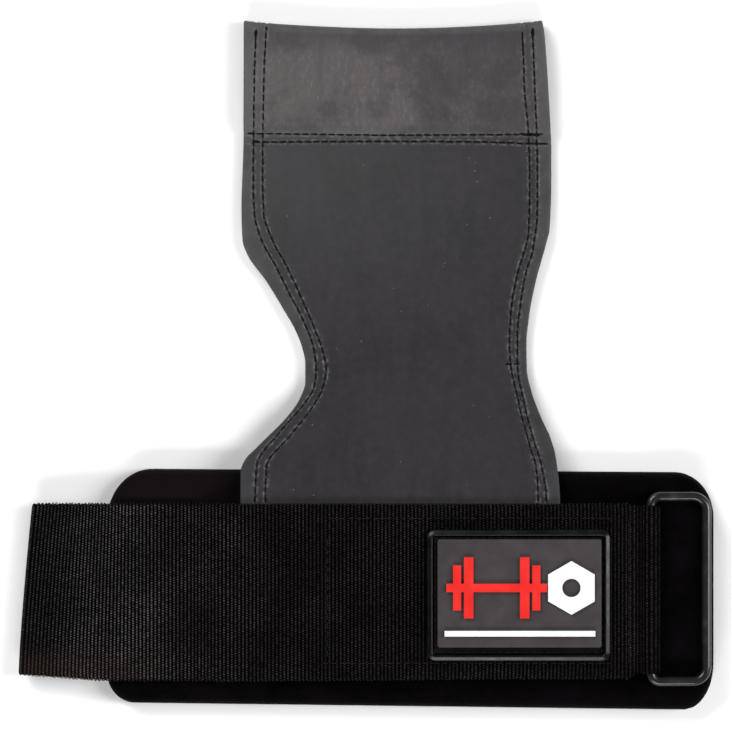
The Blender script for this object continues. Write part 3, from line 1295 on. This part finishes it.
def finish_emblem():
    """The emblem keeps its own solids, with a moulded rubber look and softened edges."""
    looks = {"badge_barbell": BADGE_RED, "badge_hexagon": BADGE_WHITE, "badge_stripe": BADGE_WHITE}
    for node, look in looks.items():
        obj = frame["nodes"][node]
        remember_rest(obj.data)
        for i in range(len(obj.data.materials)):
            obj.data.materials[i] = look
        soften = obj.modifiers.new("soft edges", "BEVEL")
        soften.width = 0.00010
        soften.segments = 2
        soften.limit_method = "ANGLE"
        soften.harden_normals = False


# ---------------------------------------------------------------- strap details


def strap_face(x):
    """Height of the strap's upper face at x, up to the ring loop."""
    level = np.where(x < SLOPE_TOP, free_strap_height(x), STRAP_Z)
    back = PAD_TOP + LAYER_GAP + WEBBING
    dipped = level + (back + LAYER_GAP - STRAP_Z) * smooth_step(x, 0.0755, 0.0778)
    return dipped + WEBBING


def build_strap_threads():
    """Box stitching that holds the strap to the band, and the rows that close the ring loop."""
    lines = {
        "wrist_band": [
            [(BOX_LEFT, -0.0470), (BOX_LEFT, BOX_LOW)],
            [(BOX_LEFT + 0.0016, -0.0500), (BOX_LEFT + 0.0016, BOX_LOW + 0.0010)],
            [(BOX_LEFT + 0.0020, BOX_TOP), (BOX_RIGHT - 0.0030, BOX_TOP)],
            [(BOX_LEFT, BOX_LOW), (BOX_RIGHT - 0.0030, BOX_LOW)],
        ],
        "right_end": [
            [(BOX_RIGHT, BOX_TOP), (BOX_RIGHT, BOX_LOW)],
            [(BOX_RIGHT + 0.0018, BOX_TOP - 0.0004), (BOX_RIGHT + 0.0018, BOX_LOW + 0.0004)],
        ],
    }
    for body, rows in lines.items():
        paths = []
        for row in rows:
            paths += stitch_path(row, 0.0021, 0.0005, 0.00028, lambda x, y: strap_face(x) + 0.00002)
        threads = rods("strap_threads_" + body, paths, 0.00020, STRAP_THREAD)
        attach(threads, body)


def build_selvedge():
    """The weft yarn turns back at every rib, so small uneven loops stand out along the webbing's edges."""
    spans = {"free": (STRAP_END_X + 0.0020, LEFT_LIFT, "lift"), "middle": (LEFT_LIFT, MIDDLE_CUT, "left"),
             "right": (MIDDLE_CUT, LOOP_NARROWS[0], "right")}
    for part, (first, last, which) in spans.items():
        paths = []
        for x in np.arange(first, last, RIB_PITCH):
            low, high = strap_edges(x)
            top = float(strap_face(np.array(x)))
            for edge, out in ((float(low), -1.0), (float(high), 1.0)):
                reach = random.uniform(0.00012, 0.00042)
                lean = float(fold_lean(x, edge)) + x + random.uniform(-0.00015, 0.00015)
                paths.append([
                    (lean - 0.00028, edge - out * 0.00055, top - 0.00002),
                    (lean - 0.00022, edge + out * reach * 0.5, top - 0.00018),
                    (lean, edge + out * reach, top - WEBBING / 2),
                    (lean + 0.00024, edge + out * reach * 0.5, top - WEBBING + 0.00020),
                    (lean + 0.00030, edge - out * 0.00045, top - WEBBING + 0.00008),
                ])
        loops = rods("selvedge_" + part, paths, 0.00014, SELVEDGE, sides=5)
        bend(loops)


def build_hook_tape():
    """Woven tape with rows of small bent hooks, below the turned tail."""
    rows = np.linspace(*HOOK_TAPE, 42)
    low, high = strap_edges(rows)
    low, high = low + HOOK_MARGIN, high - HOOK_MARGIN
    y = low[:, None] + (high - low)[:, None] * np.linspace(0.0, 1.0, 90)
    x = np.repeat(rows[:, None], y.shape[1], axis=1)
    x = x + fold_lean(x, y)
    top = free_strap_height(rows)[:, None] - WEBBING - 2 * LAYER_GAP + np.zeros_like(y)
    thick = 0.00045
    sections = shell(np.stack([x, y, top], -1), np.stack([x, y, top - thick], -1))
    tape = swept("hook_tape_base", sections, HOOKS, smooth=False)
    paths = []
    for i in range(2, 40, 3):
        for j in range(2, 88, 2):
            x0 = x[i, j] + random.uniform(-0.0001, 0.0001)
            y0 = y[i, j] + random.uniform(-0.0001, 0.0001)
            z0 = top[i, j] - thick
            paths.append([(x0 + along, y0, z0 + up) for along, up in HOOK_SHAPE])
    hooks = rods("hook_tape_hooks", paths, 0.00009, HOOKS, sides=4)
    for piece in (tape, hooks):
        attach(piece, "turned_tail")
    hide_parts("hook_tape")


# ---------------------------------------------------------------- stage


def build_floor():
    look = Look("floor", (0.93, 0.93, 0.93), Roughness=0.9, Specular_IOR_Level=0.1)
    colour = look.mix(look.noise(look.place(), 3.0), (0.925, 0.925, 0.925), (0.935, 0.935, 0.935))
    size = 6.0
    corners = [(-size, -size, 0.0), (size, -size, 0.0), (size, size, 0.0), (-size, size, 0.0)]
    floor = add_object("floor", mesh_of("floor", corners, [(0, 1, 2, 3)]), look.finish(colour))
    floor.location.z = -0.0002


def build_lights():
    """A weak white surround and three broad lamps, aimed at the middle of the object."""
    scene = bpy.context.scene
    world = bpy.data.worlds.new("studio")
    world.use_nodes = True
    world.node_tree.nodes["Background"].inputs[0].default_value = (1.0, 1.0, 1.0, 1.0)
    world.node_tree.nodes["Background"].inputs[1].default_value = 0.14
    scene.world = world
    for name, place, width, length, power in LAMPS:
        lamp = bpy.data.lights.new(name, "AREA")
        lamp.shape = "RECTANGLE"
        lamp.size, lamp.size_y, lamp.energy = width, length, power
        holder = bpy.data.objects.new(name, lamp)
        scene.collection.objects.link(holder)
        holder.location = place
        holder.rotation_euler = (-Vector(place)).to_track_quat("-Z", "Y").to_euler()


def build_camera():
    """A camera straight above, wide enough for VIEW_WIDTH at the height of the webbing."""
    scene = bpy.context.scene
    scene.view_settings.view_transform = "Standard"
    scene.view_settings.look = "None"
    camera = bpy.data.cameras.new("camera")
    camera.sensor_width = 36.0
    camera.lens = camera.sensor_width * (CAMERA_HEIGHT - 0.006) / VIEW_WIDTH
    camera.clip_start = 0.01
    holder = bpy.data.objects.new("camera", camera)
    holder.location = (0.0, CAMERA_Y, CAMERA_HEIGHT)
    scene.collection.objects.link(holder)
    scene.camera = holder


build_floor()
build_lights()
build_camera()
finish_band()
finish_strap()
build_ring()
build_flap_sheets()
build_flap_threads()
build_padding()
build_badge()
build_strap_threads()
build_selvedge()
build_hook_tape()
